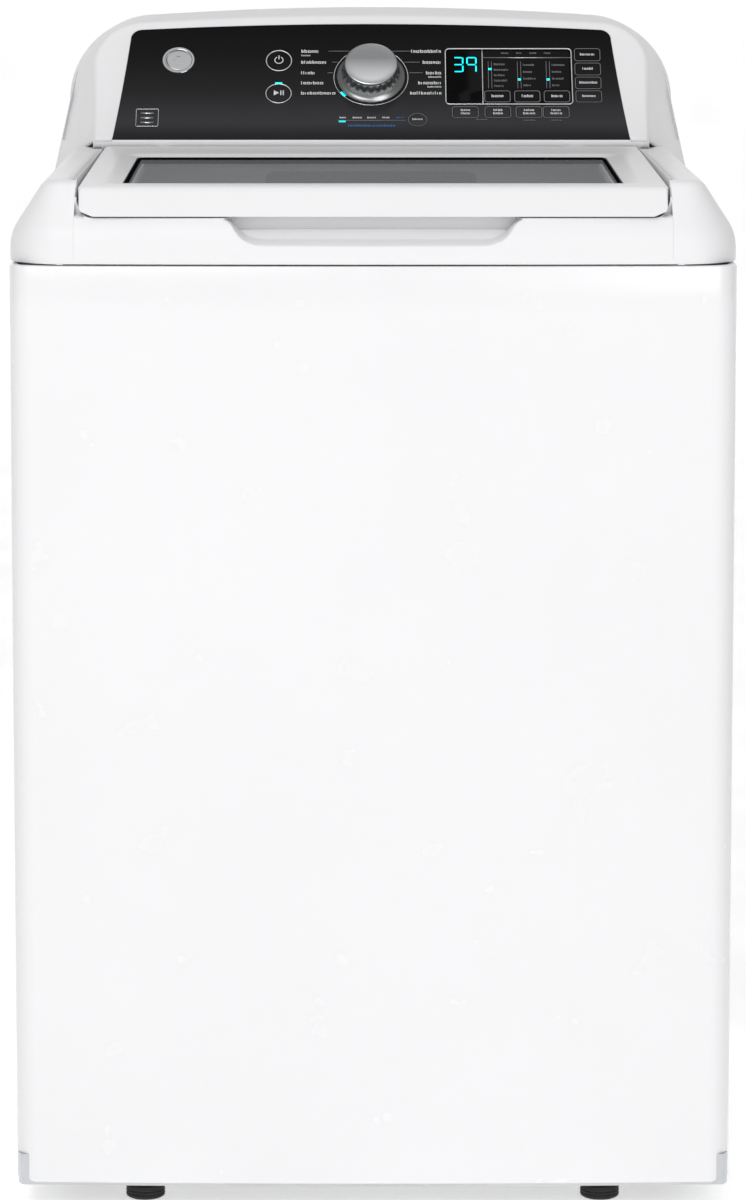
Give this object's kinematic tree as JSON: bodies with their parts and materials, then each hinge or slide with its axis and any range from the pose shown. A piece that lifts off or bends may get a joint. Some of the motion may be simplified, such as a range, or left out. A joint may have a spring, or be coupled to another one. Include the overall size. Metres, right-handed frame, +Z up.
{
  "type": "top load washing machine",
  "caption": "Free-standing top-loading washing machine with a raised rear console, windowed lid and a belt-driven agitator tub.",
  "frame": {"origin": "on the floor under the middle of the machine", "axes": "+Z up, +Y to the back, +X to the right seen from the front"},
  "size_m": [0.686, 0.686, 1.13],
  "materials": {
    "white_steel": "gloss",
    "zinc_steel": "satin",
    "white_plastic": "gloss",
    "black_rubber": "matte",
    "bright_steel": "polished",
    "black_gloss": "gloss",
    "chrome": "polished",
    "green_board": "matte",
    "grey_plastic": "matte",
    "dark_plastic": "matte",
    "tinted_glass": "gloss",
    "cast_aluminium": "satin",
    "tub_plastic": "matte",
    "motor_steel": "satin",
    "silver_plastic": "satin"
  },
  "bodies": {
    "cabinet": {"cabinet_shell": "white_steel", "rear_panel": "zinc_steel", "base_frame": "zinc_steel", "leveling_feet": "black_rubber", "foot_lock_nuts": "zinc_steel", "suspension_rods": "bright_steel", "suspension_springs": "bright_steel", "top_cover": "white_plastic", "console_housing": "white_plastic", "console_rear_cover": "zinc_steel", "control_panel": "black_gloss", "display_frame": "chrome", "emblem": "chrome", "control_board": "green_board", "selector_switch": "dark_plastic", "lid_lock": "dark_plastic", "hinge_brackets": "grey_plastic", "inlet_valve": "white_plastic", "fill_nozzle": "grey_plastic", "drain_outlet": "grey_plastic", "drain_hose": "black_rubber", "cord_gland": "dark_plastic", "rear_screws": "zinc_steel"},
    "tub": {"outer_tub": "tub_plastic", "tub_cover_ring": "tub_plastic", "bearing_housing": "tub_plastic", "tub_bearings": "bright_steel", "drive_motor": "motor_steel", "drain_pump": "grey_plastic", "drive_belt": "black_rubber"},
    "basket": {"wash_basket": "bright_steel", "balance_ring": "tub_plastic", "basket_hub": "cast_aluminium"},
    "agitator": {"agitator_base": "white_plastic", "drive_shaft": "bright_steel", "drive_pulley": "cast_aluminium"},
    "auger": {"agitator_auger": "white_plastic"},
    "motor_rotor": {"motor_pulley": "cast_aluminium"},
    "pump_rotor": {"pump_impeller": "dark_plastic"},
    "lid": {"lid_frame": "white_plastic", "lid_glass": "tinted_glass", "lid_strike": "grey_plastic", "hinge_pins": "bright_steel"},
    "selector": {"selector_knob": "silver_plastic", "selector_face": "chrome"},
    "power_button": {"power_key": "black_gloss"},
    "start_button": {"start_key": "black_gloss"},
    "level_button": {"level_key": "black_gloss"},
    "temp_button": {"temp_key": "black_gloss"},
    "soil_button": {"soil_key": "black_gloss"},
    "spin_button": {"spin_key": "black_gloss"},
    "soak_button": {"soak_key": "black_gloss"},
    "fill_button": {"fill_key": "black_gloss"},
    "rinse_button": {"rinse_key": "black_gloss"},
    "deep_rinse_button": {"deep_rinse_key": "black_gloss"},
    "favorite_button": {"favorite_key": "black_gloss"},
    "delay_button": {"delay_key": "black_gloss"},
    "eco_button": {"eco_key": "black_gloss"},
    "sound_button": {"sound_key": "black_gloss"}
  },
  "joints": [
    {"name": "tub_bounce", "type": "slide", "parent": "cabinet", "child": "tub", "axis": [0, 0, 1], "range_m": [-0.02, 0.01], "stiffness_N_per_m": 11500, "springref_m": 0.03, "deforming": ["suspension_springs"]},
    {"name": "basket_turn", "type": "hinge", "parent": "tub", "child": "basket", "pos_m": [0, 0, 0.5], "axis": [0, 0, 1], "continuous": true},
    {"name": "agitator_turn", "type": "hinge", "parent": "tub", "child": "agitator", "pos_m": [0, 0, 0.3], "axis": [0, 0, 1], "continuous": true},
    {"name": "auger_turn", "type": "hinge", "parent": "agitator", "child": "auger", "pos_m": [0, 0, 0.6], "axis": [0, 0, 1], "continuous": true},
    {"name": "motor_turn", "type": "hinge", "parent": "tub", "child": "motor_rotor", "pos_m": [-0.13435, 0.13435, 0.15], "axis": [0, 0, 1], "continuous": true},
    {"name": "pump_turn", "type": "hinge", "parent": "tub", "child": "pump_rotor", "pos_m": [0.12, 0.15, 0.155], "axis": [0, 0, 1], "continuous": true},
    {"name": "lid_hinge", "type": "hinge", "parent": "cabinet", "child": "lid", "pos_m": [0, 0.15, 0.98], "axis": [-1, 0, 0], "range_deg": [0, 95]},
    {"name": "selector_turn", "type": "hinge", "parent": "cabinet", "child": "selector", "pos_m": [0, 0.23706, 1.05769], "axis": [0, -0.7394, 0.6732], "continuous": true},
    {"name": "power_press", "type": "slide", "parent": "cabinet", "child": "power_button", "axis": [0, 0.77, -0.638], "range_m": [0, 0.001], "stiffness_N_per_m": 800, "springref_m": -0.001},
    {"name": "start_press", "type": "slide", "parent": "cabinet", "child": "start_button", "axis": [0, 0.7071, -0.7072], "range_m": [0, 0.001], "stiffness_N_per_m": 800, "springref_m": -0.001},
    {"name": "level_press", "type": "slide", "parent": "cabinet", "child": "level_button", "axis": [0, 0.648, -0.7617], "range_m": [0, 0.001], "stiffness_N_per_m": 800, "springref_m": -0.001},
    {"name": "temp_press", "type": "slide", "parent": "cabinet", "child": "temp_button", "axis": [0, 0.7007, -0.7135], "range_m": [0, 0.001], "stiffness_N_per_m": 800, "springref_m": -0.001},
    {"name": "soil_press", "type": "slide", "parent": "cabinet", "child": "soil_button", "axis": [0, 0.7007, -0.7135], "range_m": [0, 0.001], "stiffness_N_per_m": 800, "springref_m": -0.001},
    {"name": "spin_press", "type": "slide", "parent": "cabinet", "child": "spin_button", "axis": [0, 0.7007, -0.7135], "range_m": [0, 0.001], "stiffness_N_per_m": 800, "springref_m": -0.001},
    {"name": "soak_press", "type": "slide", "parent": "cabinet", "child": "soak_button", "axis": [0, 0.666, -0.7459], "range_m": [0, 0.001], "stiffness_N_per_m": 800, "springref_m": -0.001},
    {"name": "fill_press", "type": "slide", "parent": "cabinet", "child": "fill_button", "axis": [0, 0.666, -0.7459], "range_m": [0, 0.001], "stiffness_N_per_m": 800, "springref_m": -0.001},
    {"name": "rinse_press", "type": "slide", "parent": "cabinet", "child": "rinse_button", "axis": [0, 0.666, -0.7459], "range_m": [0, 0.001], "stiffness_N_per_m": 800, "springref_m": -0.001},
    {"name": "deep_rinse_press", "type": "slide", "parent": "cabinet", "child": "deep_rinse_button", "axis": [0, 0.666, -0.7459], "range_m": [0, 0.001], "stiffness_N_per_m": 800, "springref_m": -0.001},
    {"name": "favorite_press", "type": "slide", "parent": "cabinet", "child": "favorite_button", "axis": [0, 0.7803, -0.6254], "range_m": [0, 0.001], "stiffness_N_per_m": 800, "springref_m": -0.001},
    {"name": "delay_press", "type": "slide", "parent": "cabinet", "child": "delay_button", "axis": [0, 0.7549, -0.6558], "range_m": [0, 0.001], "stiffness_N_per_m": 800, "springref_m": -0.001},
    {"name": "eco_press", "type": "slide", "parent": "cabinet", "child": "eco_button", "axis": [0, 0.7284, -0.6852], "range_m": [0, 0.001], "stiffness_N_per_m": 800, "springref_m": -0.001},
    {"name": "sound_press", "type": "slide", "parent": "cabinet", "child": "sound_button", "axis": [0, 0.7007, -0.7135], "range_m": [0, 0.001], "stiffness_N_per_m": 800, "springref_m": -0.001}
  ],
  "couplings": [
    {"joint": "motor_turn", "follows": "agitator_turn", "ratio": 5.3125}
  ]
}
